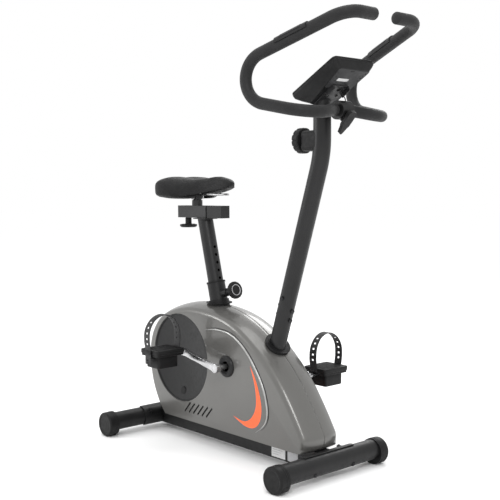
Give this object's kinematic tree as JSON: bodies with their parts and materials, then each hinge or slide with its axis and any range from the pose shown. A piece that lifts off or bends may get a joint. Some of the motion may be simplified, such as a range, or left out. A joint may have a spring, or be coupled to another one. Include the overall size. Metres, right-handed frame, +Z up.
{
  "type": "upright exercise bike",
  "caption": "Upright magnetic exercise bike: grey shell over the drive, looped foam handlebar on a bent post, console, adjustable saddle, strapped pedals and floor bars.",
  "frame": {"origin": "centre of the bounding box in plan, on the floor plane", "axes": "+X forwards, from the saddle to the console; +Y to the rider's left; +Z up"},
  "size_m": [1.068, 0.513, 1.2897],
  "materials": {
    "frame_black": "satin powder coat",
    "post_black": "satin",
    "shell_grey": "metallic gloss",
    "cover_charcoal": "satin",
    "black_plastic": "matte",
    "console_plastic": "satin",
    "lens": "clear window",
    "button_grey": "soft",
    "foam": "foam",
    "vinyl": "matte vinyl",
    "crank_steel": "polished",
    "plain_steel": "zinc plated",
    "bracket_steel": "satin",
    "iron": "turned",
    "alloy": "cast",
    "belt_rubber": "ribbed",
    "cable_black": "satin"
  },
  "bodies": {
    "frame": {"base_beam": "frame_black", "tube_saddles": "frame_black", "rear_stabilizer": "frame_black", "front_stabilizer": "frame_black", "front_caps": "black_plastic", "seat_sleeve": "frame_black", "seat_bushing": "black_plastic", "drive_frame": "frame_black", "bearings": "plain_steel", "post_socket": "frame_black", "main_post": "post_black", "frame_bolts": "plain_steel", "shell_right": "shell_grey", "shell_left": "shell_grey", "round_covers": "cover_charcoal", "hub_rings": "cover_charcoal", "seat_boot": "black_plastic", "post_boot": "black_plastic", "console_bracket": "bracket_steel", "console_back": "console_plastic", "console_front": "console_plastic", "console_lens": "lens", "clamp_rear_jaw": "frame_black", "clamp_front_jaw": "frame_black", "tension_base": "black_plastic", "tension_cable": "cable_black", "sensor_wire": "cable_black", "drive_belt": "belt_rubber"},
    "crank": {"crank_axle": "plain_steel", "drive_pulley": "alloy", "right_crank": "crank_steel", "left_crank": "crank_steel", "crank_nuts": "plain_steel"},
    "right_pedal": {"right_pedal": "black_plastic", "right_strap": "belt_rubber"},
    "left_pedal": {"left_pedal": "black_plastic", "left_strap": "belt_rubber"},
    "flywheel": {"flywheel": "iron", "flywheel_shaft": "plain_steel"},
    "idler": {"idler_wheel": "belt_rubber"},
    "magnet_yoke": {"magnet_yoke": "plain_steel"},
    "seat_post": {"seat_post": "post_black"},
    "seat_slider": {"seat_slider": "post_black"},
    "slider_knob": {"slider_knob": "black_plastic"},
    "saddle": {"saddle": "vinyl", "saddle_clamp": "plain_steel"},
    "pop_pin": {"pop_pin": "black_plastic"},
    "handlebar": {"handlebar_tube": "frame_black", "grip_right": "foam", "grip_left": "foam", "pulse_plates": "cover_charcoal"},
    "clamp_knob": {"clamp_knob": "black_plastic"},
    "tension_knob": {"tension_knob": "black_plastic"},
    "button_left": {"button_left": "button_grey"},
    "button_middle": {"button_middle": "button_grey"},
    "button_right": {"button_right": "button_grey"},
    "wheel_right": {"wheel_right": "black_plastic"},
    "wheel_left": {"wheel_left": "black_plastic"},
    "rear_cap_right": {"rear_cap_right": "black_plastic"},
    "rear_cap_left": {"rear_cap_left": "black_plastic"}
  },
  "joints": [
    {"name": "flywheel_spin", "type": "hinge", "parent": "frame", "child": "flywheel", "pos_m": [-0.29565, 0, 0.274], "axis": [0, 1, 0], "continuous": true},
    {"name": "crank_spin", "type": "hinge", "parent": "frame", "child": "crank", "pos_m": [-0.05465, 0, 0.279], "axis": [0, 1, 0], "continuous": true},
    {"name": "right_pedal_spin", "type": "hinge", "parent": "crank", "child": "right_pedal", "pos_m": [-0.2218, -0.196, 0.30998], "axis": [0, 1, 0], "continuous": true},
    {"name": "left_pedal_spin", "type": "hinge", "parent": "crank", "child": "left_pedal", "pos_m": [0.1125, 0.196, 0.24802], "axis": [0, 1, 0], "continuous": true},
    {"name": "idler_spin", "type": "hinge", "parent": "frame", "child": "idler", "pos_m": [-0.20609, 0, 0.20099], "axis": [0, 1, 0], "continuous": true},
    {"name": "tension_turn", "type": "hinge", "parent": "frame", "child": "tension_knob", "pos_m": [0.20735, 0, 0.965], "axis": [1, 0, 0], "range_deg": [0, 280]},
    {"name": "yoke_swing", "type": "hinge", "parent": "frame", "child": "magnet_yoke", "pos_m": [-0.36849, 0, 0.16997], "axis": [0, 1, 0], "range_deg": [0, 6]},
    {"name": "seat_height", "type": "slide", "parent": "frame", "child": "seat_post", "axis": [-0.2453, 0, 0.9694], "range_m": [-0.1545, 0.103]},
    {"name": "pin_pull", "type": "slide", "parent": "frame", "child": "pop_pin", "axis": [0.9694, 0, 0.2453], "range_m": [0, 0.012], "stiffness_N_per_m": 1200, "springref_m": -0.003},
    {"name": "seat_fore_aft", "type": "slide", "parent": "seat_post", "child": "seat_slider", "axis": [1, 0, 0], "range_m": [-0.07, 0.005]},
    {"name": "slider_knob_turn", "type": "hinge", "parent": "seat_slider", "child": "slider_knob", "pos_m": [-0.33665, 0, 0.713], "axis": [0, 0, 1], "range_deg": [0, 540]},
    {"name": "saddle_tilt", "type": "hinge", "parent": "seat_slider", "child": "saddle", "pos_m": [-0.28765, 0, 0.808], "axis": [0, 1, 0], "range_deg": [-12, 12]},
    {"name": "handlebar_tilt", "type": "hinge", "parent": "frame", "child": "handlebar", "pos_m": [0.36535, 0, 1.041], "axis": [0, 1, 0], "range_deg": [-20, 20]},
    {"name": "clamp_knob_turn", "type": "hinge", "parent": "frame", "child": "clamp_knob", "pos_m": [0.35205, 0, 1.02674], "axis": [0.7314, 0, -0.682], "range_deg": [0, 540]},
    {"name": "press_left", "type": "slide", "parent": "frame", "child": "button_left", "axis": [0.4695, 0, -0.8829], "range_m": [0, 0.001], "stiffness_N_per_m": 900, "springref_m": -0.0006},
    {"name": "press_middle", "type": "slide", "parent": "frame", "child": "button_middle", "axis": [0.4695, 0, -0.8829], "range_m": [0, 0.001], "stiffness_N_per_m": 900, "springref_m": -0.0006},
    {"name": "press_right", "type": "slide", "parent": "frame", "child": "button_right", "axis": [0.4695, 0, -0.8829], "range_m": [0, 0.001], "stiffness_N_per_m": 900, "springref_m": -0.0006},
    {"name": "wheel_right_spin", "type": "hinge", "parent": "frame", "child": "wheel_right", "pos_m": [0.32465, -0.203, 0.0255], "axis": [0, 1, 0], "continuous": true},
    {"name": "wheel_left_spin", "type": "hinge", "parent": "frame", "child": "wheel_left", "pos_m": [0.32465, 0.203, 0.0255], "axis": [0, 1, 0], "continuous": true},
    {"name": "level_right", "type": "hinge", "parent": "frame", "child": "rear_cap_right", "pos_m": [-0.49365, -0.228, 0.045], "axis": [0, 1, 0], "range_deg": [-90, 90]},
    {"name": "level_left", "type": "hinge", "parent": "frame", "child": "rear_cap_left", "pos_m": [-0.49365, 0.228, 0.045], "axis": [0, 1, 0], "range_deg": [-90, 90]}
  ],
  "couplings": [
    {"joint": "crank_spin", "follows": "flywheel_spin", "ratio": 0.12727},
    {"joint": "idler_spin", "follows": "flywheel_spin", "ratio": -0.875},
    {"joint": "yoke_swing", "follows": "tension_turn", "ratio": 0.021429}
  ]
}
